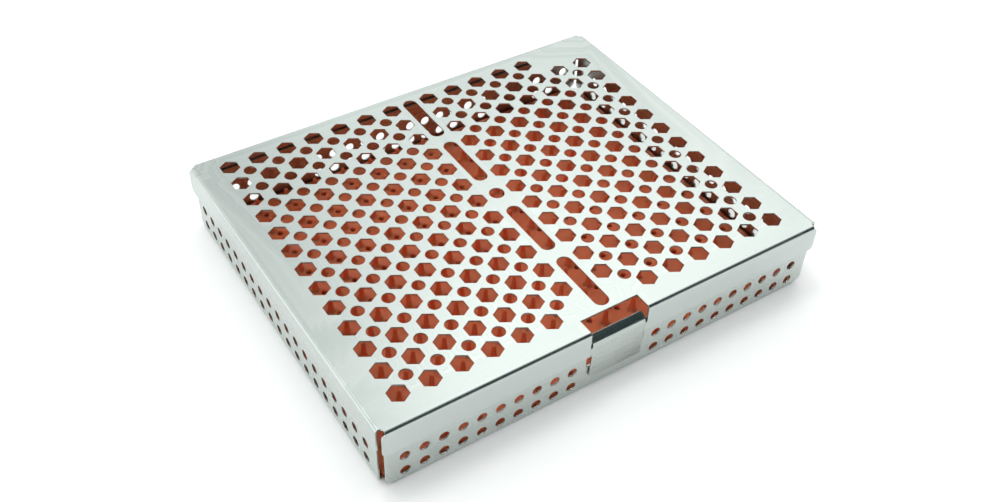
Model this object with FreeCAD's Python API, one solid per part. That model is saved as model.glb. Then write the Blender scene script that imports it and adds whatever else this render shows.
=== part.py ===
import FreeCAD, Part
import math
import os

# Sterilization container: a perforated tray with a silicone mat, a perforated lid hinged along the
# back and a spring latch in the middle of the front. The origin is under the middle of the tray,
# +Z is up, +X runs along the long side and the latch faces -Y. All sizes are in millimetres.

Vector = FreeCAD.Vector

# Overall size over the closed lid, without the hinges
length = 189.2
depth = 154.2
height = 29.4

# Steel sheet that the tray, the lid and the latch are cut and folded from
sheet = 0.7
slip = 0.35               # play between the lid's flanges and the tray's walls

# Folds
lid_bend = 1.4            # outer radius of the lid's folds
tray_bend = 1.8           # outer radius of the tray's folds
flange_height = 11.6      # from the lid's top face to the lower edge of its flanges
tray_wall_height = 22.8   # from the tray's underside to the top edge of its walls

# Open corners: the folds stop short of the corner, and most sides outrun their fold with an ear
lid_fold_setback = 2.5
lid_notch_radius = 1.0
lid_long_ear = 1.35       # front and back flanges
lid_side_ear = 1.9        # left and right flanges, at their back end only
tray_fold_setback = 3.4
tray_long_ear = 2.25
tray_side_ear = 1.8
flange_corner_radius = 1.8
tray_corner_radius = 2.0

# Lid pattern: two halves of hexagons in rows and columns, a round hole in the middle of each four
column_pitch = 12.0
row_pitch = 11.07
middle_gap = 17.6         # between the two columns beside the middle line
pattern_shift_y = 1.5     # the whole pattern sits a little towards the back
pattern_margin_x = 12.5   # least distance from the outermost hexagons' centres to the lid's sides
pattern_margin_y = 9.4
hexagon_width = 7.0       # across flats
round_hole = 5.0
round_hole_sides = 6      # few flats stand for each small round hole that repeats
wall_hole_sides = 6
blank_columns = 2         # hexagons left out of the back row, at the right
latch_margin = 5.5        # least distance from a hexagon's centre to the latch's cut-out

# Middle line of the lid: a round hole at the pattern's centre and two slots on each side of it
slot_width = 6.0
middle_hole = 6.0
middle_bridge = 6.2       # sheet left between the middle hole and a slot
slot_bridge = 5.1         # between two slots
latch_bridge = 1.9        # and between the front slot and the latch's cut-out

# Tray walls
wall_hole = 3.9
wall_hole_pitch = 7.4
wall_row_low = 4.7        # heights of the two rows of holes
wall_row_high = 12.2
wall_hole_margin = 7.0    # least distance from a hole's centre to the corner
side_holes_shift = 1.8    # the rows of the left and right walls sit a little towards the back
latch_clear = 15.0        # no wall holes this near to the latch's middle line

# Tray floor, under the mat
floor_hexagon_width = 10.0
floor_margin = 18.0
floor_pitch_x = 36.0
floor_pitch_y = 44.0

# Spring latch
latch_width = 22.8
latch_bottom = 6.6        # height of the plate's lower edge
latch_fold_height = 23.3  # where the plate starts to turn into the finger tab
tab_length = 2.9          # straight part of the finger tab
tab_angle = 45.0          # inward from the plate, in degrees
tab_corner_radius = 1.2
plate_corner_radius = 0.6
latch_notch = 0.95        # width of the notches beside the plate
latch_notch_bottom = 21.7
latch_gap = 0.3           # cut that frees the plate from the flange below the notches
cutout_depth = 7.2        # how far the cut-out reaches into the lid's top
catch_depth = 0.25
catch_length = 16.0
catch_height = 1.0
catch_centre = 8.0
catch_play = 0.5          # slot around the catch, on each side
window_width = 25.4
window_low = 11.7
window_high = 18.5
window_corner_radius = 0.8

# Silicone mat
mat_thickness = 2.0
mat_edge_gap = 0.2        # beyond the inside of the tray's folds
mat_corner_radius = 4.0
finger_pitch = 12.95
finger_margin = 6.0       # least distance from a finger's middle to the mat's edge
finger_height = 7.3
finger_foot = 3.2         # width of a finger at its foot and at its tip
finger_tip = 1.5

# Hinges
hinge_inset = 38.7        # from the lid's left or right end to the middle of a hinge
hinge_width = 24.0
leaf_sheet = 0.7
pin_diameter = 1.6
pin_play = 0.05           # radial play between pin and knuckles
pin_overhang = 0.5
knuckle_gap = 0.3
middle_knuckle = 9.0      # length of the lid leaf's knuckle
axis_drop = 1.7           # from the lower edge of the lid's flange down to the hinge axis
lid_leaf_height = 8.0
tray_leaf_height = 5.5
tray_leaf_foot = 4.8      # height of the tray leaf's lower edge
knuckle_clearance = 0.35  # between a leaf's edge and the other leaf's knuckle
leaf_edge_gap = 0.3       # from the flange's edge up to the lid leaf's body

# Derived places
half_x = length / 2
half_y = depth / 2
tray_half_x = half_x - sheet - slip
tray_half_y = half_y - sheet - slip
flange_bottom = height - flange_height
latch_half = latch_width / 2
cutout_half = latch_half + latch_notch
plate_front = -half_y + cutout_depth
slots_start = middle_hole / 2 + middle_bridge
slots_end = pattern_shift_y - plate_front - latch_bridge
slot_length = (slots_end - slots_start - slot_bridge) / 2
hinge_x = half_x - hinge_inset
knuckle_radius = pin_diameter / 2 + pin_play + leaf_sheet
axis_y = half_y + knuckle_radius
axis_z = flange_bottom - axis_drop
mat_top = sheet + mat_thickness


def point(a, b):
    return Vector(a, b, 0)


def outline(corners):
    """Closed wire in the XY plane from (x, y, radius) corners, each rounded by its own radius."""
    edges = []
    starts = []
    ends = []
    middles = []
    count = len(corners)
    for i in range(count):
        here = point(corners[i][0], corners[i][1])
        radius = corners[i][2]
        before = point(corners[i - 1][0], corners[i - 1][1])
        after = point(corners[(i + 1) % count][0], corners[(i + 1) % count][1])
        back = (before - here).normalize()
        ahead = (after - here).normalize()
        half_turn = back.getAngle(ahead) / 2
        reach = radius / math.tan(half_turn)
        starts.append(here + back * reach)
        ends.append(here + ahead * reach)
        inward = (back + ahead).normalize()
        centre = here + inward * (radius / math.sin(half_turn))
        middles.append(centre - inward * radius)
    for i in range(count):
        if corners[i][2] > 0:
            edges.append(Part.Arc(starts[i], middles[i], ends[i]).toShape())
        if ends[i].distanceToPoint(starts[(i + 1) % count]) > 1e-6:
            edges.append(Part.LineSegment(ends[i], starts[(i + 1) % count]).toShape())
    return Part.Wire(edges)


def rectangle(x_low, y_low, x_high, y_high, radius=0.0):
    return outline([(x_low, y_low, radius), (x_high, y_low, radius),
                    (x_high, y_high, radius), (x_low, y_high, radius)])


def hexagon(x, y, width):
    """Hexagon with two flats parallel to Y, so that its points face front and back."""
    tip = width / math.sqrt(3)
    return outline([(x + tip * math.sin(math.radians(60 * k)),
                     y + tip * math.cos(math.radians(60 * k)), 0) for k in range(6)])


def circle(x, y, diameter):
    return Part.Wire(Part.makeCircle(diameter / 2, point(x, y)))


def faceted_circle(x, y, diameter, sides):
    """Small round hole as a polygon of the same area, with a flat at its left and right."""
    step = 2 * math.pi / sides
    radius = diameter / 2 * math.sqrt(step / math.sin(step))
    return outline([(x + radius * math.cos(step * (k + 0.5)), y + radius * math.sin(step * (k + 0.5)), 0)
                    for k in range(sides)])


def slot(x, y, width, slot_len):
    """Round-ended slot along Y."""
    return rectangle(x - width / 2, y - slot_len / 2, x + width / 2, y + slot_len / 2,
                     width / 2)


def flat(wires, thickness):
    """Flat plate on the XY plane: the first wire is its edge and the others are its holes."""
    face = Part.makeFace(wires, "Part::FaceMakerBullseye")
    return face.extrude(Vector(0, 0, thickness))


def stand(shape, y_front):
    """Turn a plate drawn in XY upright: X stays, Y becomes Z, and its face lies at y_front."""
    upright = shape.copy()
    upright.rotate(Vector(0, 0, 0), Vector(1, 0, 0), 90)
    upright.translate(Vector(0, y_front + sheet, 0))
    return upright


def turned(shape, degrees):
    copy = shape.copy()
    copy.rotate(Vector(0, 0, 0), Vector(0, 0, 1), degrees)
    return copy


def box(x_low, y_low, z_low, x_high, y_high, z_high):
    return Part.makeBox(x_high - x_low, y_high - y_low, z_high - z_low, Vector(x_low, y_low, z_low))


def joined(pieces):
    whole = pieces[0].multiFuse(pieces[1:])
    return whole.removeSplitter()


def bar(x_low, x_high, wire):
    """Extrude a YZ profile, drawn as (y, z) in the XY plane, along X."""
    face = Part.Face(wire)
    face.rotate(Vector(0, 0, 0), Vector(1, 1, 1), 120)
    solid = face.extrude(Vector(x_high - x_low, 0, 0))
    solid.translate(Vector(x_low, 0, 0))
    return solid


def ring_sector(centre_y, centre_z, outer, inner, start, end):
    """Wire of a ring sector in (y, z), from the start to the end angle in degrees."""
    def at(radius, angle):
        turn = math.radians(angle)
        return point(centre_y + radius * math.cos(turn), centre_z + radius * math.sin(turn))
    middle = (start + end) / 2
    return Part.Wire([Part.Arc(at(outer, start), at(outer, middle), at(outer, end)).toShape(),
                      Part.LineSegment(at(outer, end), at(inner, end)).toShape(),
                      Part.Arc(at(inner, end), at(inner, middle), at(inner, start)).toShape(),
                      Part.LineSegment(at(inner, start), at(outer, start)).toShape()])


def fold(x_low, x_high, y_front, z_plate, radius, up):
    """Quarter fold along the front edge, from a plate at z_plate to a wall that goes up or down."""
    if up:
        wire = ring_sector(y_front + radius, z_plate + radius, radius, radius - sheet, 180, 270)
    else:
        wire = ring_sector(y_front + radius, z_plate - radius, radius, radius - sheet, 90, 180)
    return bar(x_low, x_high, wire)


def symmetric_places(limit, pitch, offset=0.0):
    """Places on both sides of zero: offset, offset + pitch and so on, up to the limit."""
    places = []
    place = offset
    while place <= limit + 1e-6:
        places.append(place)
        if place > 0:
            places.append(-place)
        place = place + pitch
    return sorted(places)


# Lid

lid_columns = symmetric_places(half_x - pattern_margin_x, column_pitch, middle_gap / 2)
lid_rows = [y + pattern_shift_y for y in symmetric_places(half_y - pattern_margin_y, row_pitch)]


def beside_latch(x, y):
    """True where a hexagon would come too near to the latch's cut-out."""
    return abs(x) < cutout_half + latch_margin and y < plate_front + latch_margin


def lid_hexagons():
    wires = []
    blank = lid_columns[-blank_columns:] if blank_columns else []
    for y in lid_rows:
        for x in lid_columns:
            at_blank = y == lid_rows[-1] and x in blank
            if not at_blank and not beside_latch(x, y):
                wires.append(hexagon(x, y, hexagon_width))
    return wires


def lid_round_holes():
    wires = []
    blank_from = lid_columns[-1 - blank_columns]
    for i in range(len(lid_rows) - 1):
        y = (lid_rows[i] + lid_rows[i + 1]) / 2
        for j in range(len(lid_columns) - 1):
            low = lid_columns[j]
            high = lid_columns[j + 1]
            across_middle = low < 0 < high
            at_blank = i == len(lid_rows) - 2 and low >= blank_from
            if not across_middle and not at_blank:
                wires.append(faceted_circle((low + high) / 2, y, round_hole, round_hole_sides))
    return wires


def lid_middle_line():
    wires = [circle(0, pattern_shift_y, middle_hole)]
    near = slots_start + slot_length / 2
    far = slots_end - slot_length / 2
    for y in (-far, -near, near, far):
        wires.append(slot(0, y + pattern_shift_y, slot_width, slot_length))
    return wires


def lid_plate():
    x = half_x - lid_bend
    y = half_y - lid_bend
    notch_x = half_x - lid_fold_setback
    notch_y = half_y - lid_fold_setback
    corner = []
    for sx, sy in ((1, 1), (-1, 1), (-1, -1), (1, -1)):
        notch = [(sx * x, sy * notch_y, 0), (sx * notch_x, sy * notch_y, lid_notch_radius),
                 (sx * notch_x, sy * y, 0)]
        corner.append(notch if sx * sy > 0 else notch[::-1])
    corners = corner[0] + corner[1] + corner[2]
    corners += [(-cutout_half, -y, 0), (-cutout_half, plate_front, 0),
                (cutout_half, plate_front, 0), (cutout_half, -y, 0)]
    corners += corner[3]
    wires = [outline(corners)] + lid_hexagons() + lid_round_holes() + lid_middle_line()
    plate = flat(wires, sheet)
    plate.translate(Vector(0, 0, height - sheet))
    return plate


def lid_front_flange():
    """Right half of the front flange: the latch's cut-out and its notch end it near the middle."""
    root = height - lid_bend
    fold_end = half_x - lid_fold_setback
    outer = fold_end + lid_long_ear
    inner = latch_half + latch_gap
    corners = [(inner, flange_bottom, 0), (outer, flange_bottom, flange_corner_radius),
               (outer, root, lid_long_ear), (cutout_half, root, 0),
               (cutout_half, latch_notch_bottom, cutout_half - inner), (inner, latch_notch_bottom, 0)]
    half = stand(flat([outline(corners)], sheet), -half_y)
    return half.fuse(fold(cutout_half, fold_end, -half_y, height, lid_bend, False))


def plain_flange(half_out, half_along, left_ear, right_ear):
    """Lid flange drawn at the front of a lid half_out deep, with an ear beyond each end of its fold."""
    root = height - lid_bend
    fold_end = half_along - lid_fold_setback
    left = -fold_end - left_ear
    right = fold_end + right_ear
    corners = [(left, flange_bottom, flange_corner_radius), (right, flange_bottom, flange_corner_radius),
               (right, root, right_ear), (left, root, left_ear)]
    wall = stand(flat([outline(corners)], sheet), -half_out)
    return wall.fuse(fold(-fold_end, fold_end, -half_out, height, lid_bend, False))


def mirrored(shape):
    return shape.mirror(Vector(0, 0, 0), Vector(1, 0, 0))


def make_lid():
    front = lid_front_flange()
    back = turned(plain_flange(half_y, half_x, lid_long_ear, lid_long_ear), 180)
    side = turned(plain_flange(half_x, half_y, 0.0, lid_side_ear), 90)
    return joined([lid_plate(), front, mirrored(front), back, side, mirrored(side)])


# Latch

def make_latch():
    plate = stand(flat([outline([(-latch_half, latch_bottom, plate_corner_radius),
                                 (latch_half, latch_bottom, plate_corner_radius),
                                 (latch_half, latch_fold_height, 0),
                                 (-latch_half, latch_fold_height, 0)])], sheet), -half_y)
    centre_y = -half_y + lid_bend
    turn = bar(-latch_half, latch_half, ring_sector(centre_y, latch_fold_height, lid_bend,
                                                    lid_bend - sheet, 180 - tab_angle, 180))
    tab = stand(flat([outline([(-latch_half, 0, 0), (latch_half, 0, 0),
                               (latch_half, tab_length, tab_corner_radius),
                               (-latch_half, tab_length, tab_corner_radius)])], sheet), -lid_bend)
    tab.rotate(Vector(0, 0, 0), Vector(1, 0, 0), -tab_angle)
    tab.translate(Vector(0, centre_y, latch_fold_height))
    inner_face = -half_y + sheet
    catch = bar(-catch_length / 2, catch_length / 2, outline([
        (inner_face - sheet / 2, catch_centre - catch_height / 2, 0),
        (inner_face, catch_centre - catch_height / 2, 0),
        (inner_face + catch_depth, catch_centre - catch_height / 4, 0),
        (inner_face + catch_depth, catch_centre + catch_height / 4, 0),
        (inner_face, catch_centre + catch_height / 2, 0),
        (inner_face - sheet / 2, catch_centre + catch_height / 2, 0)]))
    return joined([plate, turn, tab, catch])


# Tray

def hinge_covers(x):
    """True where a hinge leaf lies over the back wall."""
    reach = hinge_width / 2 + wall_hole / 2
    return min(abs(x - hinge_x), abs(x + hinge_x)) < reach


def tray_wall(half_out, half_along, ear, hole_places, extra_wires):
    """Tray wall drawn at the front of a tray half_out deep, with two rows of holes."""
    half_span = half_along - tray_fold_setback + ear
    corners = [(-half_span, tray_bend, ear), (half_span, tray_bend, ear),
               (half_span, tray_wall_height, tray_corner_radius),
               (-half_span, tray_wall_height, tray_corner_radius)]
    wires = [outline(corners)] + extra_wires
    for x in hole_places:
        wires.append(faceted_circle(x, wall_row_low, wall_hole, wall_hole_sides))
        wires.append(faceted_circle(x, wall_row_high, wall_hole, wall_hole_sides))
    wall = stand(flat(wires, sheet), -half_out)
    return wall.fuse(fold(-half_span + ear, half_span - ear, -half_out, 0, tray_bend, True))


def tray_floor():
    x = tray_half_x - tray_bend
    y = tray_half_y - tray_bend
    notch_x = tray_half_x - tray_fold_setback
    notch_y = tray_half_y - tray_fold_setback
    corners = []
    for sx, sy in ((1, 1), (-1, 1), (-1, -1), (1, -1)):
        notch = [(sx * x, sy * notch_y, 0), (sx * notch_x, sy * notch_y, 0), (sx * notch_x, sy * y, 0)]
        corners += notch if sx * sy > 0 else notch[::-1]
    wires = [outline(corners)]
    for px in symmetric_places(tray_half_x - floor_margin, floor_pitch_x):
        for py in symmetric_places(tray_half_y - floor_margin, floor_pitch_y):
            wires.append(hexagon(px, py, floor_hexagon_width))
    return flat(wires, sheet)


def make_tray():
    long_places = symmetric_places(tray_half_x - wall_hole_margin, wall_hole_pitch, wall_hole_pitch / 2)
    side_places = symmetric_places(tray_half_y - wall_hole_margin, wall_hole_pitch)
    window = rectangle(-window_width / 2, window_low, window_width / 2, window_high, window_corner_radius)
    catch_slot = rectangle(-catch_length / 2 - catch_play, catch_centre - catch_height / 2 - catch_play,
                           catch_length / 2 + catch_play, catch_centre + catch_height / 2 + catch_play)
    front = tray_wall(tray_half_y, tray_half_x, tray_long_ear,
                      [x for x in long_places if abs(x) > latch_clear], [window, catch_slot])
    back = tray_wall(tray_half_y, tray_half_x, tray_long_ear,
                     [x for x in long_places if not hinge_covers(x)], [])
    side = turned(tray_wall(tray_half_x, tray_half_y, tray_side_ear,
                            [y + side_holes_shift for y in side_places], []), 90)
    return joined([tray_floor(), front, turned(back, 180), side, mirrored(side)])


# Silicone mat

def mat_finger(x, y):
    """Finger with four flat sides that taper from its square foot on the mat to its tip."""
    foot = finger_foot / 2
    tip = finger_tip / 2
    finger = Part.makeWedge(-foot, 0, -foot, -tip, -tip, foot, finger_height, foot, tip, tip)
    finger.rotate(Vector(0, 0, 0), Vector(1, 0, 0), 90)
    finger.translate(Vector(x, y, mat_top))
    return finger


def make_mat():
    inset = tray_bend + mat_edge_gap
    x = tray_half_x - inset
    y = tray_half_y - inset
    slab = flat([rectangle(-x, -y, x, y, mat_corner_radius)], mat_thickness)
    slab.translate(Vector(0, 0, sheet))
    fingers = [mat_finger(px, py) for px in symmetric_places(x - finger_margin, finger_pitch)
               for py in symmetric_places(y - finger_margin, finger_pitch)]
    return joined([slab] + fingers)


# Hinges

def knuckle(x_low, x_high, path):
    """Leaf strip with its rolled knuckle: the path is the strip's profile up to the axis height."""
    strip = bar(x_low, x_high, outline(path))
    barrel = Part.makeCylinder(knuckle_radius, x_high - x_low, Vector(x_low, axis_y, axis_z), Vector(1, 0, 0))
    bore = Part.makeCylinder(knuckle_radius - leaf_sheet, x_high - x_low, Vector(x_low, axis_y, axis_z),
                             Vector(1, 0, 0))
    return strip.fuse(barrel).cut(bore)


def lid_leaf(x):
    """Leaf on the outside of the lid's back flange, with one knuckle in the middle."""
    body_low = flange_bottom + leaf_edge_gap
    body = box(x - hinge_width / 2, half_y, body_low, x + hinge_width / 2, half_y + leaf_sheet,
               body_low + lid_leaf_height)
    strip = [(half_y, axis_z, 0), (half_y + leaf_sheet, axis_z, 0),
             (half_y + leaf_sheet, body_low + leaf_sheet, 0), (half_y, body_low + leaf_sheet, 0)]
    return joined([body, knuckle(x - middle_knuckle / 2, x + middle_knuckle / 2, strip)])


def tray_leaf(x):
    """Leaf on the outside of the tray's back wall, set out over the flange's depth to its knuckles."""
    face = tray_half_y
    out = half_y - tray_half_y
    top = axis_z - knuckle_radius - knuckle_clearance
    knee = tray_leaf_foot + tray_leaf_height
    profile = [(face, tray_leaf_foot, 0), (face + leaf_sheet, tray_leaf_foot, 0),
               (face + leaf_sheet, knee - out / 2, 0), (half_y + leaf_sheet, knee + out / 2, 0),
               (half_y + leaf_sheet, top, 0), (half_y, top, 0), (half_y, knee + out, 0), (face, knee, 0)]
    body = bar(x - hinge_width / 2, x + hinge_width / 2, outline(profile))
    strip = [(half_y, top - leaf_sheet, 0), (half_y + leaf_sheet, top - leaf_sheet, 0),
             (half_y + leaf_sheet, axis_z, 0), (half_y, axis_z, 0)]
    inner = middle_knuckle / 2 + knuckle_gap
    outer = hinge_width / 2
    return joined([body, knuckle(x - outer, x - inner, strip), knuckle(x + inner, x + outer, strip)])


def hinge_pin(x):
    reach = hinge_width / 2 + pin_overhang
    return Part.makeCylinder(pin_diameter / 2, 2 * reach, Vector(x - reach, axis_y, axis_z), Vector(1, 0, 0))


def make_parts():
    parts = {"base_tray": make_tray(), "silicone_mat": make_mat(), "lid_panel": make_lid(),
             "latch_tongue": make_latch()}
    for side, x in (("left", -hinge_x), ("right", hinge_x)):
        parts["hinge_leaf_base_" + side] = tray_leaf(x)
        parts["hinge_leaf_lid_" + side] = lid_leaf(x)
        parts["hinge_pin_" + side] = hinge_pin(x)
    return parts


os.makedirs("parts", exist_ok=True)
for name, shape in make_parts().items():
    shape.exportStep("parts/" + name + ".step")
    print(name, "solids", len(shape.Solids), "valid", shape.isValid(), "volume", round(shape.Volume, 1))
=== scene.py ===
import math

import bmesh
import bpy
import numpy as np
from mathutils import Matrix, Vector


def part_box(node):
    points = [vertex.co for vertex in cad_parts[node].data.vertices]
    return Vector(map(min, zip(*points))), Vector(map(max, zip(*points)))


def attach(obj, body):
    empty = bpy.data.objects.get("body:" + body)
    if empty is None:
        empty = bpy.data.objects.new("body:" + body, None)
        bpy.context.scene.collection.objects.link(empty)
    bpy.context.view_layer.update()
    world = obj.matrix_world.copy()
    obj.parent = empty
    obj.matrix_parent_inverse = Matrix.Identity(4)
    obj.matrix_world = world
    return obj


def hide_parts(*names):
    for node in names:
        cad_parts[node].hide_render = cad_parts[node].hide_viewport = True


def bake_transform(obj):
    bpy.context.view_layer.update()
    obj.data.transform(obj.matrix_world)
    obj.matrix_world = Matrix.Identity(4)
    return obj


# A perforated steel container with a silicone mat, a hinged lid and a spring latch.
# Lengths are in millimetres, but for the studio's, and MM turns them into metres.
# +Z is up and the latch faces -Y.

MM = 0.001

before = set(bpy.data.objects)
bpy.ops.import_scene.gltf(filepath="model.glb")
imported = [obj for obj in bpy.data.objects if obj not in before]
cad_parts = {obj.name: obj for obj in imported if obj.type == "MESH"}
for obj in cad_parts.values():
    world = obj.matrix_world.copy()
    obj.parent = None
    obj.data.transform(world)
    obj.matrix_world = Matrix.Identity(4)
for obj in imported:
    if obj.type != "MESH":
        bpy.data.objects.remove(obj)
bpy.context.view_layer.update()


def span(node):
    """Lowest and highest corner of a node, in millimetres."""
    low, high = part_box(node)
    return low / MM, high / MM


lid_low, lid_high = span("lid_panel")
tray_low, tray_high = span("base_tray")
latch_low, latch_high = span("latch_tongue")
mat_low, mat_high = span("silicone_mat")

# Sheet and folds
SHEET = 0.7
LID_BEND = 1.4
TRAY_BEND = 1.8
CHAMFER = 0.06            # broken edge all round the sheet
BEND_STEPS = 8
EASE = 0.3                # strip of flat sheet kept beside each bend
CORNER_SLACK = 0.05       # so near to the end of a bend, a point already counts as on the wall
FLAT_ENOUGH = 0.99        # least Z of the normal of a face that lies in the plane of the sheet
MERGE_DISTANCE = 1e-4
CIRCLE_SIDES = 28
ARC_STEPS = 8             # in half a turn of a small arc
SMOOTH_ANGLE = 38.0       # degrees; sharper edges than this show as edges

# Open corners: each fold stops short of the corner, and an ear of the flange reaches past it
LID_FOLD_SETBACK = 2.5
LID_NOTCH_RADIUS = 1.0
LID_LONG_EAR = 1.35       # on the front and back flanges
LID_SIDE_EAR = 1.9        # on the back ends of the left and right flanges
TRAY_FOLD_SETBACK = 3.4
TRAY_LONG_EAR = 2.25
TRAY_SIDE_EAR = 1.8       # on the back ends of the side walls
FLANGE_CORNER_RADIUS = 1.8
TRAY_CORNER_RADIUS = 2.0

# Lid pattern
COLUMN_PITCH = 12.0
ROW_PITCH = 11.07
MIDDLE_GAP = 17.6
PATTERN_SHIFT_Y = 1.5
PATTERN_MARGIN_X = 12.5
PATTERN_MARGIN_Y = 9.4
HEXAGON_WIDTH = 7.0
ROUND_HOLE = 5.0
BLANK_COLUMNS = 2
LATCH_MARGIN = 5.5
SLOT_WIDTH = 6.0
MIDDLE_HOLE = 6.0
MIDDLE_BRIDGE = 6.2
SLOT_BRIDGE = 5.1
LATCH_BRIDGE = 1.9

# Tray holes
WALL_HOLE = 3.9
WALL_HOLE_PITCH = 7.4
WALL_ROWS = (4.7, 12.2)
WALL_HOLE_MARGIN = 7.0
SIDE_HOLES_SHIFT = 1.8    # towards the back
LATCH_CLEAR = 15.0
HINGE_INSET = 38.7
HINGE_WIDTH = 24.0
FLOOR_HEXAGON = 10.0
FLOOR_MARGIN = 18.0
FLOOR_PITCH_X = 36.0
FLOOR_PITCH_Y = 44.0
WINDOW_WIDTH = 25.4
WINDOW_LOW = 11.7
WINDOW_HIGH = 18.5
WINDOW_RADIUS = 0.8

# Latch
LATCH_NOTCH = 0.95
LATCH_NOTCH_BOTTOM = 21.7
CUTOUT_DEPTH = 7.2
LATCH_FOLD_HEIGHT = 23.3
LATCH_LEAN = 4.0          # degrees that the plate leans in above the notches
LATCH_LEAN_RADIUS = 6.0
TAB_LENGTH = 2.9
TAB_ANGLE = 45.0
TAB_CORNER_RADIUS = 1.2
PLATE_CORNER_RADIUS = 0.6
CATCH_LENGTH = 16.0
CATCH_HEIGHT = 1.0
CATCH_CENTRE = 8.0
CATCH_DEPTH = 0.25
CATCH_PLAY = 0.5
CATCH_SLOT_RADIUS = 0.3
CATCH_ROOT = 0.05         # how far the rib reaches into the plate
CATCH_END = 0.5           # length over which each end of the rib narrows
CATCH_END_SCALE = 0.35
BRIDGE_CHAMFER = 0.004

# Mat
MAT_THICKNESS = 2.0
MAT_RADIUS = 4.0
FINGER_PITCH = 12.95
FINGER_AT = (-59.5, -49.5)   # one of the fingers
FINGER_TIP = 1.5          # diameters
FINGER_FOOT = 2.6
FINGER_FLARE = 0.6        # radius of the fillet round a finger's foot
FINGER_TIP_RISE = 0.8     # height of the rounded tip as a share of its radius
FINGER_SIDES = 14
FINGER_MARGIN = 3.0       # least distance from a finger's middle to the mat's edge
DRAIN_HOLE = 2.2
DRAIN_OFFSET = (2.3, -2.6)   # from each finger of the square lattice
DRAIN_RIM = 0.35
DRAIN_SIDES = 20
LATTICE_STEPS = 20        # more than the mat has room for on any side
MAT_SMOOTH_ANGLE = 50.0

# Looks: how fine each pattern is, in repeats per metre along X, Y and Z
GRAIN = (60.0, 5200.0, 5200.0)
STREAKS = (34.0, 760.0, 760.0)
CLOUDS = (16.0, 22.0, 22.0)
MOTTLE = (90.0, 90.0, 90.0)
SKIN = (2600.0, 2600.0, 2600.0)

# Studio, in metres
FLOOR_HALF = 3.0
FLOOR_DROP = 0.0003       # keeps the floor clear of the tray's underside
FLOOR_SHADE = 0.92
FLOOR_GLOW = 0.08         # lifts the floor to white where it is seen or mirrored
WHITE = (1.0, 1.0, 1.0)
BACK_LIGHT = (0.98, 1.02, 1.01)
FRONT_LIGHT = (0.25, 0.28, 0.28)
DARK_SPOT = (0.022, 0.042, 0.046)
# Strips of the ceiling: X component of their direction, half their width and change of their light
STRIPS = ((0.20, 0.12, -0.24), (0.345, 0.08, 0.22), (0.45, 0.05, -0.14))
LAMP_DISTANCE = 1.6
CAMERA_PLACE = (-0.18868, -0.27308, 0.31183)
CAMERA_AIM = (-0.00735, -0.01289, 0.0140)
CAMERA_ROLL = 2.54        # degrees
CAMERA_LENS = 40.89       # millimetres, on a sensor 36 wide
SENSOR_WIDTH = 36.0

HALF_X = lid_high.x
HALF_Y = -lid_low.y
TOP = lid_high.z
TRAY_X = tray_high.x
TRAY_Y = -tray_low.y
LATCH_X = latch_high.x
CUTOUT_X = LATCH_X + LATCH_NOTCH
CUTOUT_Y = -HALF_Y + CUTOUT_DEPTH
HINGE_X = HALF_X - HINGE_INSET
MAT_TOP = mat_low.z + MAT_THICKNESS
FINGER_TOP = mat_high.z


# Outlines in the flat sheet, as lists of (u, v)

def rounded(corners, step=12.0):
    """Closed outline from (u, v, radius) corners, with an arc of short sides at each radius."""
    points = []
    count = len(corners)
    for i in range(count):
        here = Vector(corners[i][:2])
        radius = corners[i][2]
        back = (Vector(corners[i - 1][:2]) - here).normalized()
        ahead = (Vector(corners[(i + 1) % count][:2]) - here).normalized()
        if radius <= 0:
            points.append(tuple(here))
            continue
        half = back.angle(ahead) / 2
        centre = here + (back + ahead).normalized() * (radius / math.sin(half))
        start = here + back * (radius / math.tan(half)) - centre
        turn = math.pi - 2 * half
        if start.cross(here - centre) < 0:
            turn = -turn
        pieces = max(2, round(abs(math.degrees(turn)) / step))
        for k in range(pieces + 1):
            offset = start.copy()
            offset.rotate(Matrix.Rotation(turn * k / pieces, 2))
            points.append(tuple(centre + offset))
    return [p for i, p in enumerate(points) if (Vector(p) - Vector(points[i - 1])).length > MERGE_DISTANCE]


def turned(quarter, side_u, side_v):
    """A corner's outline mirrored to one of the four corners, in the same sense round the sheet."""
    corner = [(side_u * u, side_v * v, radius) for u, v, radius in quarter]
    return corner if side_u * side_v > 0 else corner[::-1]


def box_outline(u_low, v_low, u_high, v_high, radius=0.0):
    return rounded([(u_low, v_low, radius), (u_high, v_low, radius),
                    (u_high, v_high, radius), (u_low, v_high, radius)])


def hexagon(u, v, width):
    tip = width / math.sqrt(3)
    return [(u + tip * math.sin(math.radians(60 * k)), v + tip * math.cos(math.radians(60 * k)))
            for k in range(6)]


def circle(u, v, diameter, sides=CIRCLE_SIDES):
    return [(u + diameter / 2 * math.cos(2 * math.pi * k / sides),
             v + diameter / 2 * math.sin(2 * math.pi * k / sides)) for k in range(sides)]


def slot(u, v, width, length):
    return box_outline(u - width / 2, v - length / 2, u + width / 2, v + length / 2, width / 2)


def places(limit, pitch, offset=0.0):
    """Places on both sides of zero: offset, offset + pitch and so on, up to the limit."""
    found = []
    place = offset
    while place <= limit + 1e-6:
        found += [place, -place] if place > 0 else [place]
        place += pitch
    return sorted(found)


# Sheet metal: a flat pattern is cut out, then its sides are folded

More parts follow.
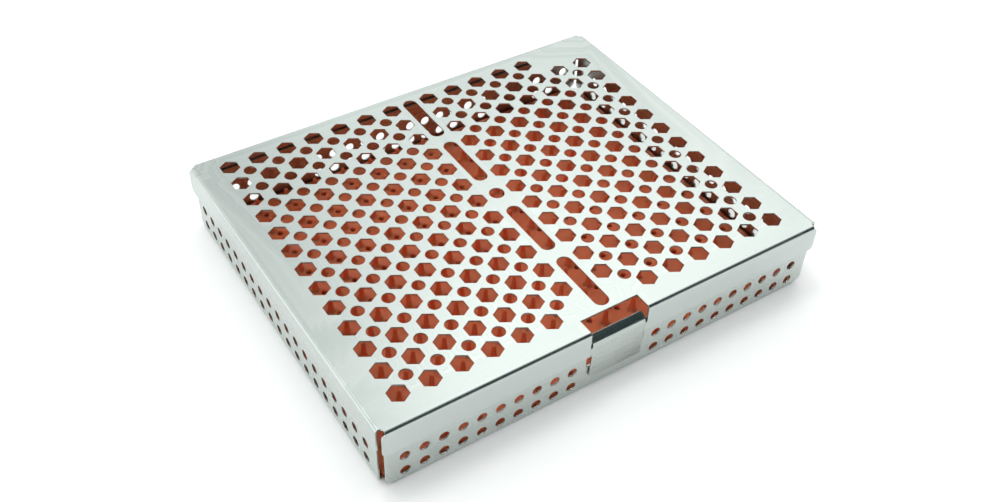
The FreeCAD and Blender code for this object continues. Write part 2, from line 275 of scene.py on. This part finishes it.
def cut_sheet(name, outlines, thickness, chamfer=CHAMFER):
    """Flat sheet with holes, about z = 0; the first outline is its edge."""
    curve = bpy.data.curves.new(name, "CURVE")
    curve.dimensions = "2D"
    curve.fill_mode = "BOTH"
    curve.extrude = thickness / 2 - chamfer
    curve.bevel_depth = chamfer
    curve.bevel_resolution = 0
    curve.offset = -chamfer
    for points in outlines:
        spline = curve.splines.new("POLY")
        spline.points.add(len(points) - 1)
        for target, (u, v) in zip(spline.points, points):
            target.co = (u, v, 0.0, 1.0)
        spline.use_cyclic_u = True
    holder = bpy.data.objects.new(name, curve)
    bpy.context.scene.collection.objects.link(holder)
    graph = bpy.context.evaluated_depsgraph_get()
    mesh = bpy.data.meshes.new_from_object(holder.evaluated_get(graph))
    bpy.data.objects.remove(holder)
    bpy.data.curves.remove(curve)
    mesh.name = name
    shape = bmesh.new()
    shape.from_mesh(mesh)
    bmesh.ops.remove_doubles(shape, verts=shape.verts, dist=MERGE_DISTANCE)
    bmesh.ops.recalc_face_normals(shape, faces=shape.faces)
    flat = {face for face in shape.faces if abs(face.normal.z) > FLAT_ENOUGH}
    inside = [edge for edge in shape.edges
              if len(edge.link_faces) == 2 and flat.issuperset(edge.link_faces)]
    bmesh.ops.beautify_fill(shape, faces=[face for face in shape.faces if face in flat], edges=inside)
    shape.to_mesh(mesh)
    shape.free()
    return mesh


def slice_mesh(mesh, axis, levels):
    """Adds an edge loop where the mesh crosses each level of an axis."""
    shape = bmesh.new()
    shape.from_mesh(mesh)
    normal = Vector((0, 0, 0))
    normal[axis] = 1.0
    for level in levels:
        whole = shape.verts[:] + shape.edges[:] + shape.faces[:]
        bmesh.ops.bisect_plane(shape, geom=whole, dist=1e-5, plane_co=normal * level, plane_no=normal)
    shape.to_mesh(mesh)
    shape.free()


def bend_levels(start, length):
    """Levels on both sides of zero for a bend that starts at start and takes length of sheet."""
    levels = [start - EASE] + [start + length * k / BEND_STEPS for k in range(BEND_STEPS + 1)]
    levels.append(start + length + EASE)
    return levels + [-level for level in levels]


def points_of(mesh):
    flat = np.zeros(len(mesh.vertices) * 3, np.float32)
    mesh.vertices.foreach_get("co", flat)
    return flat.reshape(-1, 3).astype(float)


def set_points(mesh, points):
    mesh.vertices.foreach_set("co", points.astype(np.float32).ravel())
    mesh.update()


def keep_flat_pattern(mesh, points):
    """Stores each point's place in the flat sheet, in metres, as the UV map that the grain follows."""
    layer = mesh.uv_layers.new(name="flat_pattern")
    corners = np.zeros(len(mesh.loops), np.int32)
    mesh.loops.foreach_get("vertex_index", corners)
    layer.data.foreach_set("uv", (points[corners, :2] * MM).astype(np.float32).ravel())


def fold_profile(distance, depth, start, radius):
    """Where a point lies after a quarter bend: (out along the sheet, away from its outer face)."""
    length = radius * math.pi / 2
    angle = np.clip((distance - start) / radius, 0, math.pi / 2)
    beyond = np.maximum(distance - start - length, 0)
    before = np.minimum(distance, start)
    out = before + (radius - depth) * np.sin(angle)
    away = radius - (radius - depth) * np.cos(angle) + beyond
    return out, away


def fold_four_sides(mesh, half_x, half_y, radius, up):
    """Folds the four sides of a flat pattern: up for a tray, down for a lid."""
    start_x = half_x - radius
    start_y = half_y - radius
    length = radius * math.pi / 2
    slice_mesh(mesh, 0, bend_levels(start_x, length))
    slice_mesh(mesh, 1, bend_levels(start_y, length))
    points = points_of(mesh)
    keep_flat_pattern(mesh, points)
    u, v, w = points.T
    depth = w + SHEET / 2 if up else SHEET / 2 - w
    past_corner = (np.abs(u) > start_x) & (np.abs(v) > start_y)
    short_side = (np.abs(u) > start_x) & ~past_corner
    short_side |= past_corner & (np.abs(u) > start_x + length - CORNER_SLACK)
    long_side = (np.abs(v) > start_y) & ~short_side
    away = depth.copy()
    out, far = fold_profile(np.abs(v), depth, start_y, radius)
    v = np.where(long_side, np.sign(v) * out, v)
    away = np.where(long_side, far, away)
    out, far = fold_profile(np.abs(u), depth, start_x, radius)
    u = np.where(short_side, np.sign(u) * out, u)
    away = np.where(short_side, far, away)
    height = away if up else TOP - away
    set_points(mesh, np.stack([u, v, height], axis=1))


def finish_mesh(mesh, angle=SMOOTH_ANGLE):
    """To metres, and smooth but for edges sharper than the angle."""
    mesh.transform(Matrix.Scale(MM, 4))
    mesh.polygons.foreach_set("use_smooth", [True] * len(mesh.polygons))
    mesh.set_sharp_from_angle(angle=math.radians(angle))
    mesh.update()


def add_piece(name, mesh, material, body, replaced=None):
    piece = bpy.data.objects.new(name, mesh)
    bpy.context.scene.collection.objects.link(piece)
    mesh.materials.clear()
    mesh.materials.append(material)
    if body:
        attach(piece, body)
    if replaced:
        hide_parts(replaced)
    return piece


# Node materials

def node_material(name):
    material = bpy.data.materials.new(name)
    material.use_nodes = True
    nodes = material.node_tree.nodes
    nodes.clear()
    output = nodes.new("ShaderNodeOutputMaterial")
    shader = nodes.new("ShaderNodeBsdfPrincipled")
    material.node_tree.links.new(shader.outputs["BSDF"], output.inputs["Surface"])
    return material, nodes, material.node_tree.links, shader


def noise(nodes, links, vector, scale, detail=2.0, roughness=0.5):
    """Noise over coordinates stretched by a scale for each axis."""
    mapping = nodes.new("ShaderNodeMapping")
    mapping.inputs["Scale"].default_value = scale
    links.new(vector, mapping.inputs["Vector"])
    texture = nodes.new("ShaderNodeTexNoise")
    texture.inputs["Scale"].default_value = 1.0
    texture.inputs["Detail"].default_value = detail
    texture.inputs["Roughness"].default_value = roughness
    links.new(mapping.outputs["Vector"], texture.inputs["Vector"])
    return texture.outputs["Fac"]


def calculated(nodes, links, operation, *values):
    """A Math node over numbers or the outputs of other nodes."""
    node = nodes.new("ShaderNodeMath")
    node.operation = operation
    for socket, value in zip(node.inputs, values):
        if isinstance(value, float):
            socket.default_value = value
        else:
            links.new(value, socket)
    return node.outputs[0]


def ranged(nodes, links, value, low, high, from_low=0.3, from_high=0.7, smooth=False):
    """Maps from_low...from_high to low...high; the standard range is about that of a noise."""
    node = nodes.new("ShaderNodeMapRange")
    if smooth:
        node.interpolation_type = "SMOOTHSTEP"
    node.inputs["From Min"].default_value = from_low
    node.inputs["From Max"].default_value = from_high
    node.inputs["To Min"].default_value = low
    node.inputs["To Max"].default_value = high
    links.new(value, node.inputs["Value"])
    return node.outputs["Result"]


def mixed_colour(nodes, links, factor, first, second):
    """From the first colour to the second; each is a tuple or the output of another node."""
    node = nodes.new("ShaderNodeMix")
    node.data_type = "RGBA"
    links.new(factor, node.inputs["Factor"])
    for name, colour in (("A", first), ("B", second)):
        if isinstance(colour, tuple):
            node.inputs[name].default_value = (*colour, 1.0)
        else:
            links.new(colour, node.inputs[name])
    return node.outputs["Result"]


def bumped(nodes, links, shader, height, strength, distance):
    node = nodes.new("ShaderNodeBump")
    node.inputs["Strength"].default_value = strength
    node.inputs["Distance"].default_value = distance
    links.new(height, node.inputs["Height"])
    links.new(node.outputs["Normal"], shader.inputs["Normal"])


def sheet_tangent(nodes, links, coordinates):
    """Direction of the grain: along X in the flat sheet, and down the walls at its two ends."""
    normal = nodes.new("ShaderNodeSeparateXYZ")
    links.new(coordinates.outputs["Normal"], normal.inputs[0])
    never_nought = 0.02
    joined = nodes.new("ShaderNodeCombineXYZ")
    links.new(calculated(nodes, links, "ADD", normal.outputs["Z"], never_nought), joined.inputs["X"])
    links.new(calculated(nodes, links, "MULTIPLY", normal.outputs["X"], -1.0), joined.inputs["Z"])
    world = nodes.new("ShaderNodeVectorTransform")
    world.vector_type = "VECTOR"
    world.convert_from = "OBJECT"
    world.convert_to = "WORLD"
    links.new(joined.outputs[0], world.inputs[0])
    return world.outputs[0]


def brushed_steel(name, light, dark, roughness, flat_pattern=True):
    """Stainless sheet with a fine grain along X of the flat sheet, faint long streaks and clouding."""
    material, nodes, links, shader = node_material(name)
    coordinates = nodes.new("ShaderNodeTexCoord")
    vector = coordinates.outputs["UV" if flat_pattern else "Object"]
    grain = noise(nodes, links, vector, GRAIN, 3.0, 0.6)
    streak = noise(nodes, links, vector, STREAKS, 3.0, 0.6)
    cloud = noise(nodes, links, vector, CLOUDS, 3.0, 0.55)
    tone = calculated(nodes, links, "MULTIPLY_ADD", streak, 0.8, cloud)
    shade = ranged(nodes, links, tone, 0.0, 1.0, 0.65, 1.15)
    links.new(mixed_colour(nodes, links, shade, dark, light), shader.inputs["Base Color"])
    polish = ranged(nodes, links, streak, roughness - 0.10, roughness)
    links.new(calculated(nodes, links, "MULTIPLY_ADD", grain, 0.10, polish), shader.inputs["Roughness"])
    shader.inputs["Metallic"].default_value = 1.0
    shader.inputs["Anisotropic"].default_value = 0.60 if flat_pattern else 0.20
    shader.inputs["Anisotropic Rotation"].default_value = 0.25
    if flat_pattern:
        links.new(sheet_tangent(nodes, links, coordinates), shader.inputs["Tangent"])
    else:
        tangent = nodes.new("ShaderNodeTangent")
        tangent.direction_type = "RADIAL"
        tangent.axis = "Z"
        links.new(tangent.outputs["Tangent"], shader.inputs["Tangent"])
    relief = calculated(nodes, links, "MULTIPLY_ADD", streak, 2.5, grain)
    bumped(nodes, links, shader, relief, 0.12, 0.00002)
    return material


def silicone(name, light, dark):
    """Matt orange silicone, slightly mottled, with a fine skin and some light passing through it."""
    material, nodes, links, shader = node_material(name)
    coordinates = nodes.new("ShaderNodeTexCoord")
    vector = coordinates.outputs["Object"]
    mottle = noise(nodes, links, vector, MOTTLE, 3.0, 0.6)
    skin = noise(nodes, links, vector, SKIN, 2.0, 0.5)
    colour = mixed_colour(nodes, links, ranged(nodes, links, mottle, 0.0, 1.0), dark, light)
    links.new(colour, shader.inputs["Base Color"])
    links.new(ranged(nodes, links, mottle, 0.42, 0.56), shader.inputs["Roughness"])
    shader.inputs["Specular IOR Level"].default_value = 0.45
    shader.inputs["Subsurface Weight"].default_value = 0.60
    shader.inputs["Subsurface Radius"].default_value = (0.0050, 0.0018, 0.0009)
    shader.inputs["Subsurface Scale"].default_value = 1.0
    shader.inputs["Sheen Weight"].default_value = 0.08
    bumped(nodes, links, shader, skin, 0.25, 0.00004)
    return material


lid_steel = brushed_steel("lid_steel", (0.63, 0.665, 0.64), (0.51, 0.56, 0.54), 0.26)
tray_steel = brushed_steel("tray_steel", (0.60, 0.64, 0.61), (0.51, 0.56, 0.53), 0.28)
# The latch plate and its bridges are of the lid's own sheet; this is the lid's steel painted darker, as
# painted shade on the latch.
latch_steel = brushed_steel("latch_steel", (0.57, 0.61, 0.58), (0.49, 0.54, 0.51), 0.26)
hinge_steel = brushed_steel("hinge_steel", (0.60, 0.63, 0.61), (0.50, 0.54, 0.52), 0.32, False)
pin_steel = brushed_steel("pin_steel", (0.66, 0.68, 0.67), (0.58, 0.61, 0.60), 0.24, False)
mat_silicone = silicone("mat_silicone", (0.80, 0.200, 0.078), (0.70, 0.160, 0.060))


# Lid

def lid_outline():
    """Flat pattern of the lid, with open corners and the latch's cut-out in the front."""
    bend_length = LID_BEND * math.pi / 2
    drop = TOP - LID_BEND - lid_low.z
    root_u = HALF_X - LID_BEND + bend_length
    root_v = HALF_Y - LID_BEND + bend_length
    side_u = root_u + drop
    long_v = root_v + drop
    fold_u = HALF_X - LID_FOLD_SETBACK
    fold_v = HALF_Y - LID_FOLD_SETBACK
    ear_u = fold_u + LID_LONG_EAR
    ear_v = fold_v + LID_SIDE_EAR
    long_ear = [(fold_u, fold_v, LID_NOTCH_RADIUS), (fold_u, root_v, 0), (ear_u, root_v, LID_LONG_EAR),
                (ear_u, long_v, FLANGE_CORNER_RADIUS)]
    front = [(side_u, fold_v, FLANGE_CORNER_RADIUS)] + long_ear
    side_ear = [(side_u, ear_v, FLANGE_CORNER_RADIUS), (root_u, ear_v, LID_SIDE_EAR), (root_u, fold_v, 0)]
    back = side_ear + long_ear
    cutout = [(-CUTOUT_X, -long_v, 0), (-CUTOUT_X, CUTOUT_Y, 0),
              (CUTOUT_X, CUTOUT_Y, 0), (CUTOUT_X, -long_v, 0)]
    return rounded(turned(back, 1, 1) + turned(back, -1, 1) + turned(front, -1, -1) + cutout
                   + turned(front, 1, -1))


def lid_holes():
    columns = places(HALF_X - PATTERN_MARGIN_X, COLUMN_PITCH, MIDDLE_GAP / 2)
    rows = [v + PATTERN_SHIFT_Y for v in places(HALF_Y - PATTERN_MARGIN_Y, ROW_PITCH)]
    blank_from = columns[-BLANK_COLUMNS]
    holes = []
    for v in rows:
        for u in columns:
            blank = v == rows[-1] and u >= blank_from
            beside_latch = abs(u) < CUTOUT_X + LATCH_MARGIN and v < CUTOUT_Y + LATCH_MARGIN
            if not blank and not beside_latch:
                holes.append(hexagon(u, v, HEXAGON_WIDTH))
    for low_v, high_v in zip(rows, rows[1:]):
        for low_u, high_u in zip(columns, columns[1:]):
            blank = high_v == rows[-1] and high_u >= blank_from
            if not blank and not low_u < 0 < high_u:
                holes.append(circle((low_u + high_u) / 2, (low_v + high_v) / 2, ROUND_HOLE))
    start = MIDDLE_HOLE / 2 + MIDDLE_BRIDGE
    end = PATTERN_SHIFT_Y - CUTOUT_Y - LATCH_BRIDGE
    length = (end - start - SLOT_BRIDGE) / 2
    for v in (start + length / 2, end - length / 2):
        holes.append(slot(0, PATTERN_SHIFT_Y + v, SLOT_WIDTH, length))
        holes.append(slot(0, PATTERN_SHIFT_Y - v, SLOT_WIDTH, length))
    holes.append(circle(0, PATTERN_SHIFT_Y, MIDDLE_HOLE, 36))
    return holes


def make_lid():
    mesh = cut_sheet("lid_sheet", [lid_outline()] + lid_holes(), SHEET)
    fold_four_sides(mesh, HALF_X, HALF_Y, LID_BEND, up=False)
    finish_mesh(mesh)
    return add_piece("lid_sheet", mesh, lid_steel, "lid", "lid_panel")


# Tray

def tray_outline():
    bend_length = TRAY_BEND * math.pi / 2
    rise = tray_high.z - TRAY_BEND
    root_u = TRAY_X - TRAY_BEND + bend_length
    root_v = TRAY_Y - TRAY_BEND + bend_length
    side_u = root_u + rise
    long_v = root_v + rise
    fold_u = TRAY_X - TRAY_FOLD_SETBACK
    fold_v = TRAY_Y - TRAY_FOLD_SETBACK
    ear_u = fold_u + TRAY_LONG_EAR
    ear_v = fold_v + TRAY_SIDE_EAR
    long_ear = [(fold_u, fold_v, 0), (fold_u, root_v, 0), (ear_u, root_v, TRAY_LONG_EAR),
                (ear_u, long_v, TRAY_CORNER_RADIUS)]
    front = [(side_u, fold_v, TRAY_CORNER_RADIUS)] + long_ear
    side_ear = [(side_u, ear_v, TRAY_CORNER_RADIUS), (root_u, ear_v, TRAY_SIDE_EAR), (root_u, fold_v, 0)]
    back = side_ear + long_ear
    return rounded(turned(back, 1, 1) + turned(back, -1, 1) + turned(front, -1, -1) + turned(front, 1, -1))


def tray_holes():
    bend_length = TRAY_BEND * math.pi / 2

    def on_long(height):
        return TRAY_Y - TRAY_BEND + bend_length + height - TRAY_BEND

    def on_short(height):
        return TRAY_X - TRAY_BEND + bend_length + height - TRAY_BEND

    holes = []
    cover = HINGE_WIDTH / 2 + WALL_HOLE / 2
    for u in places(TRAY_X - WALL_HOLE_MARGIN, WALL_HOLE_PITCH, WALL_HOLE_PITCH / 2):
        for height in WALL_ROWS:
            if abs(u) > LATCH_CLEAR:
                holes.append(circle(u, -on_long(height), WALL_HOLE))
            if abs(abs(u) - HINGE_X) >= cover:
                holes.append(circle(u, on_long(height), WALL_HOLE))
    for v in places(TRAY_Y - WALL_HOLE_MARGIN, WALL_HOLE_PITCH):
        for height in WALL_ROWS:
            holes.append(circle(on_short(height), v + SIDE_HOLES_SHIFT, WALL_HOLE))
            holes.append(circle(-on_short(height), v + SIDE_HOLES_SHIFT, WALL_HOLE))
    for u in places(TRAY_X - FLOOR_MARGIN, FLOOR_PITCH_X):
        for v in places(TRAY_Y - FLOOR_MARGIN, FLOOR_PITCH_Y):
            holes.append(hexagon(u, v, FLOOR_HEXAGON))
    holes.append(box_outline(-WINDOW_WIDTH / 2, -on_long(WINDOW_HIGH), WINDOW_WIDTH / 2,
                             -on_long(WINDOW_LOW), WINDOW_RADIUS))
    catch_half = CATCH_LENGTH / 2 + CATCH_PLAY
    catch_reach = CATCH_HEIGHT / 2 + CATCH_PLAY
    holes.append(box_outline(-catch_half, -on_long(CATCH_CENTRE + catch_reach), catch_half,
                             -on_long(CATCH_CENTRE - catch_reach), CATCH_SLOT_RADIUS))
    return holes


def make_tray():
    mesh = cut_sheet("tray_sheet", [tray_outline()] + tray_holes(), SHEET)
    fold_four_sides(mesh, TRAY_X, TRAY_Y, TRAY_BEND, up=True)
    finish_mesh(mesh)
    return add_piece("tray_sheet", mesh, tray_steel, "base", "base_tray")


# Latch

def bent(distance, depth, bends):
    """Profile of a strip that stands up from y = 0 and turns inward at each (start, radius, degrees)."""
    y = np.zeros_like(distance)
    z = np.zeros_like(distance)
    place = np.zeros(2)
    heading = 0.0
    at = 0.0
    for start, radius, degrees in bends + [(math.inf, 1.0, 0.0)]:
        forward = np.array([math.sin(heading), math.cos(heading)])
        inward = np.array([math.cos(heading), -math.sin(heading)])
        here = (distance >= at) & (distance < start)
        along = distance - at
        y = np.where(here, place[0] + forward[0] * along + inward[0] * depth, y)
        z = np.where(here, place[1] + forward[1] * along + inward[1] * depth, z)
        if start == math.inf:
            break
        place = place + forward * (start - at)
        turn = math.radians(degrees)
        length = radius * turn
        centre = place + inward * radius
        here = (distance >= start) & (distance < start + length)
        angle = heading + (distance - start) / radius
        y = np.where(here, centre[0] - (radius - depth) * np.cos(angle), y)
        z = np.where(here, centre[1] + (radius - depth) * np.sin(angle), z)
        heading += turn
        place = centre + radius * np.array([-math.cos(heading), math.sin(heading)])
        at = start + length
    return y, z


def make_latch():
    bottom = latch_low.z
    fold_start = LATCH_FOLD_HEIGHT - bottom
    fold_turn = TAB_ANGLE - LATCH_LEAN
    bends = [(LATCH_NOTCH_BOTTOM - bottom, LATCH_LEAN_RADIUS, LATCH_LEAN), (fold_start, LID_BEND, fold_turn)]
    total = fold_start + LID_BEND * math.radians(fold_turn) + TAB_LENGTH
    sheet_outline = rounded([(-LATCH_X, 0, PLATE_CORNER_RADIUS), (LATCH_X, 0, PLATE_CORNER_RADIUS),
                             (LATCH_X, total, TAB_CORNER_RADIUS), (-LATCH_X, total, TAB_CORNER_RADIUS)])
    mesh = cut_sheet("latch_plate", [sheet_outline], SHEET)
    levels = []
    for start, radius, degrees in bends:
        length = radius * math.radians(degrees)
        levels += [start - EASE] + [start + length * k / BEND_STEPS for k in range(BEND_STEPS + 1)]
        levels.append(start + length + EASE)
    slice_mesh(mesh, 1, levels)
    points = points_of(mesh)
    keep_flat_pattern(mesh, points - (0, HALF_Y + bottom, 0))
    u, v, w = points.T
    y, z = bent(v, SHEET / 2 - w, bends)
    set_points(mesh, np.stack([u, y - HALF_Y, z + bottom], axis=1))
    add_catch(mesh)
    finish_mesh(mesh)
    return add_piece("latch_plate", mesh, latch_steel, "latch", "latch_tongue")


def add_catch(mesh):
    """Pressed rib across the inside of the plate that snaps into the tray's slot."""
    inner = -HALF_Y + SHEET - CATCH_ROOT
    half = CATCH_LENGTH / 2
    shape = bmesh.new()
    shape.from_mesh(mesh)
    rings = []
    for x, scale in ((-half, CATCH_END_SCALE), (-half + CATCH_END, 1.0), (half - CATCH_END, 1.0),
                     (half, CATCH_END_SCALE)):
        ring = []
        for k in range(ARC_STEPS + 1):
            angle = math.pi * k / ARC_STEPS
            y = inner + (CATCH_DEPTH + CATCH_ROOT) * scale * math.sin(angle)
            z = CATCH_CENTRE - CATCH_HEIGHT / 2 * scale * math.cos(angle)
            ring.append(shape.verts.new((x, y, z)))
        rings.append(ring)
    for first, second in zip(rings, rings[1:]):
        for k in range(ARC_STEPS):
            shape.faces.new((first[k], second[k], second[k + 1], first[k + 1]))
        shape.faces.new((first[-1], second[-1], second[0], first[0]))
    shape.faces.new(rings[0])
    shape.faces.new(rings[-1][::-1])
    bmesh.ops.recalc_face_normals(shape, faces=shape.faces)
    shape.to_mesh(mesh)
    shape.free()


def make_bridge(side):
    """Narrow bridge of sheet below a notch; on the real latch it twists when the latch is pressed, but this
    piece is attached to no body and stays still.
    """
    notch = LATCH_NOTCH / 2
    middle = LATCH_X + notch
    outline = [(LATCH_X, lid_low.z), (CUTOUT_X, lid_low.z)]
    for k in range(ARC_STEPS + 1):
        angle = math.pi * k / ARC_STEPS
        outline.append((middle + notch * math.cos(angle),
                        LATCH_NOTCH_BOTTOM + notch - notch * math.sin(angle)))
    outline = [(side * x, z) for x, z in outline]
    mesh = cut_sheet("latch_bridge", [outline], SHEET, BRIDGE_CHAMFER)
    points = points_of(mesh)
    keep_flat_pattern(mesh, points - (0, HALF_Y + latch_low.z, 0))
    u, v, w = points.T
    set_points(mesh, np.stack([u, -HALF_Y + SHEET / 2 - w, v], axis=1))
    finish_mesh(mesh)
    name = "latch_bridge_right" if side > 0 else "latch_bridge_left"
    piece = add_piece(name, mesh, latch_steel, None)
    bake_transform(piece)
    return piece


# Mat

def lattice(first_x, first_y):
    """Places of a square lattice through a point, as far as the mat carries fingers."""
    reach_x = mat_high.x - FINGER_MARGIN
    reach_y = mat_high.y - FINGER_MARGIN
    steps = range(-LATTICE_STEPS, LATTICE_STEPS + 1)
    spots = [(first_x + i * FINGER_PITCH, first_y + j * FINGER_PITCH) for i in steps for j in steps]
    return [(x, y) for x, y in spots if abs(x) <= reach_x and abs(y) <= reach_y]


def finger_places():
    """Fingers in a square lattice with one more in the middle of each square."""
    x, y = FINGER_AT
    half = FINGER_PITCH / 2
    return lattice(x, y) + lattice(x + half, y + half)


def drain_places():
    return lattice(FINGER_AT[0] + DRAIN_OFFSET[0], FINGER_AT[1] + DRAIN_OFFSET[1])


def finger_profile():
    """(radius, height) of a finger from the fillet at its foot to its rounded tip."""
    foot = FINGER_FOOT / 2
    tip = FINGER_TIP / 2
    base = MAT_TOP
    profile = [(foot + FINGER_FLARE * (1 - math.sin(math.radians(a))),
                base + FINGER_FLARE * (1 - math.cos(math.radians(a)))) for a in (0, 30, 60, 85)]
    neck = FINGER_TOP - tip * FINGER_TIP_RISE
    profile.append(((foot + tip) / 2, (base + FINGER_FLARE + neck) / 2))
    for a in (0, 30, 60, 80):
        angle = math.radians(a)
        profile.append((tip * math.cos(angle), neck + tip * FINGER_TIP_RISE * math.sin(angle)))
    return profile


def make_mat():
    outlines = [box_outline(mat_low.x, mat_low.y, mat_high.x, mat_high.y, MAT_RADIUS)]
    outlines += [circle(x, y, DRAIN_HOLE, DRAIN_SIDES) for x, y in drain_places()]
    mesh = cut_sheet("mat_with_fingers", outlines, MAT_THICKNESS, DRAIN_RIM)
    mesh.transform(Matrix.Translation((0, 0, mat_low.z + MAT_THICKNESS / 2)))
    shape = bmesh.new()
    shape.from_mesh(mesh)
    profile = finger_profile()
    for x, y in finger_places():
        rings = [[shape.verts.new((u, v, z)) for u, v in circle(x, y, 2 * radius, FINGER_SIDES)]
                 for radius, z in profile]
        for lower, upper in zip(rings, rings[1:]):
            for k in range(FINGER_SIDES):
                shape.faces.new((lower[k - 1], lower[k], upper[k], upper[k - 1]))
        top = shape.verts.new((x, y, FINGER_TOP))
        for k in range(FINGER_SIDES):
            shape.faces.new((rings[-1][k - 1], rings[-1][k], top))
    shape.to_mesh(mesh)
    shape.free()
    finish_mesh(mesh, MAT_SMOOTH_ANGLE)
    return add_piece("mat_with_fingers", mesh, mat_silicone, "base", "silicone_mat")


make_lid()
make_tray()
make_latch()
make_bridge(1)
make_bridge(-1)
make_mat()

for node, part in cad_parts.items():
    if node.startswith("hinge_leaf") or node.startswith("hinge_pin"):
        finish = pin_steel if node.startswith("hinge_pin") else hinge_steel
        part.data.materials.clear()
        part.data.materials.append(finish)


# Floor, light and camera

def make_floor():
    corners = [(u, v, 0) for u, v in box_outline(-FLOOR_HALF, -FLOOR_HALF, FLOOR_HALF, FLOOR_HALF)]
    mesh = bpy.data.meshes.new("floor")
    mesh.from_pydata(corners, [], [(0, 1, 2, 3)])
    floor = bpy.data.objects.new("floor", mesh)
    bpy.context.scene.collection.objects.link(floor)
    floor.location.z = -FLOOR_DROP
    material = bpy.data.materials.new("floor_white")
    material.use_nodes = True
    nodes = material.node_tree.nodes
    links = material.node_tree.links
    nodes.clear()
    output = nodes.new("ShaderNodeOutputMaterial")
    diffuse = nodes.new("ShaderNodeBsdfDiffuse")
    diffuse.inputs["Color"].default_value = (FLOOR_SHADE, FLOOR_SHADE, FLOOR_SHADE, 1.0)
    glow = nodes.new("ShaderNodeEmission")
    path = nodes.new("ShaderNodeLightPath")
    seen = calculated(nodes, links, "MAXIMUM", path.outputs["Is Camera Ray"], path.outputs["Is Glossy Ray"])
    seen = calculated(nodes, links, "MAXIMUM", seen, path.outputs["Is Transmission Ray"])
    links.new(calculated(nodes, links, "MULTIPLY", seen, FLOOR_GLOW), glow.inputs["Strength"])
    total = nodes.new("ShaderNodeAddShader")
    links.new(diffuse.outputs[0], total.inputs[0])
    links.new(glow.outputs[0], total.inputs[1])
    links.new(total.outputs[0], output.inputs["Surface"])
    mesh.materials.append(material)


def facing(nodes, links, direction, from_degrees, to_degrees):
    """Nought beyond from_degrees off a direction, one within to_degrees of it, and smooth between."""
    coordinates = nodes.new("ShaderNodeTexCoord")
    dot = nodes.new("ShaderNodeVectorMath")
    dot.operation = "DOT_PRODUCT"
    links.new(coordinates.outputs["Generated"], dot.inputs[0])
    dot.inputs[1].default_value = Vector(direction).normalized()
    limits = [math.cos(math.radians(degrees)) for degrees in (from_degrees, to_degrees)]
    return ranged(nodes, links, dot.outputs["Value"], 0.0, 1.0, *limits, smooth=True)


def with_strip(nodes, links, colour, across, width, change):
    """Brighter or darker in a strip from front to back, placed by the X component of its direction."""
    coordinates = nodes.new("ShaderNodeTexCoord")
    parts = nodes.new("ShaderNodeSeparateXYZ")
    links.new(coordinates.outputs["Generated"], parts.inputs[0])
    off = calculated(nodes, links, "SUBTRACT", parts.outputs["X"], across)
    distance = calculated(nodes, links, "ABSOLUTE", off)
    level = ranged(nodes, links, distance, 1.0 + change, 1.0, 0.0, width, smooth=True)
    scaled = nodes.new("ShaderNodeVectorMath")
    scaled.operation = "SCALE"
    links.new(colour, scaled.inputs[0])
    links.new(level, scaled.inputs["Scale"])
    return scaled.outputs["Vector"]


def make_world():
    """A pale studio, dimmer in front, with soft strips overhead that the lid mirrors.

    The front bend and the tab mirror its one dark spot.
    """
    world = bpy.data.worlds.new("studio")
    bpy.context.scene.world = world
    world.use_nodes = True
    nodes = world.node_tree.nodes
    links = world.node_tree.links
    nodes.clear()
    output = nodes.new("ShaderNodeOutputWorld")
    background = nodes.new("ShaderNodeBackground")
    front = facing(nodes, links, (0.25, -0.95, 0.10), 100.0, 45.0)
    spot = facing(nodes, links, (0.45, -0.66, 0.60), 42.0, 26.0)
    room = mixed_colour(nodes, links, front, BACK_LIGHT, FRONT_LIGHT)
    for across, width, change in STRIPS:
        room = with_strip(nodes, links, room, across, width, change)
    links.new(mixed_colour(nodes, links, spot, room, DARK_SPOT), background.inputs["Color"])
    white = nodes.new("ShaderNodeBackground")
    white.inputs["Color"].default_value = (*WHITE, 1.0)
    path = nodes.new("ShaderNodeLightPath")
    choose = nodes.new("ShaderNodeMixShader")
    links.new(path.outputs["Is Camera Ray"], choose.inputs["Fac"])
    links.new(background.outputs[0], choose.inputs[1])
    links.new(white.outputs[0], choose.inputs[2])
    links.new(choose.outputs[0], output.inputs["Surface"])


def softbox(name, towards, size, strength, colour=WHITE, mirrored=True):
    """Square area lamp that faces the container from a direction; strength is its radiance."""
    lamp = bpy.data.lights.new(name, "AREA")
    lamp.shape = "SQUARE"
    lamp.size = size
    lamp.energy = strength * math.pi * size * size
    lamp.color = colour
    holder = bpy.data.objects.new(name, lamp)
    bpy.context.scene.collection.objects.link(holder)
    direction = Vector(towards).normalized()
    holder.location = direction * LAMP_DISTANCE
    holder.rotation_mode = "QUATERNION"
    holder.rotation_quaternion = (-direction).to_track_quat("-Z", "Y")
    holder.visible_glossy = mirrored


def make_camera():
    lens = bpy.data.cameras.new("camera")
    lens.sensor_width = SENSOR_WIDTH
    lens.lens = CAMERA_LENS
    lens.clip_start = 0.01
    camera = bpy.data.objects.new("camera", lens)
    bpy.context.scene.collection.objects.link(camera)
    camera.location = CAMERA_PLACE
    camera.rotation_mode = "QUATERNION"
    level = (Vector(CAMERA_AIM) - Vector(CAMERA_PLACE)).to_track_quat("-Z", "Y")
    camera.rotation_quaternion = level @ Matrix.Rotation(math.radians(CAMERA_ROLL), 4, "Z").to_quaternion()
    bpy.context.scene.camera = camera


make_floor()
make_world()
softbox("ceiling_right", towards=(0.48, 0.36, 0.80), size=0.9, strength=0.80, colour=(1.0, 1.0, 0.985))
softbox("ceiling_key", towards=(-0.12, 0.20, 0.97), size=0.45, strength=8.0)
softbox("window_left", towards=(-0.80, 0.50, 0.24), size=0.9, strength=0.70, colour=(0.97, 1.0, 1.0))
softbox("overhead_fill", towards=(0.10, -0.28, 0.95), size=1.2, strength=1.8, mirrored=False)
make_camera()

bpy.context.scene.view_settings.view_transform = "Standard"
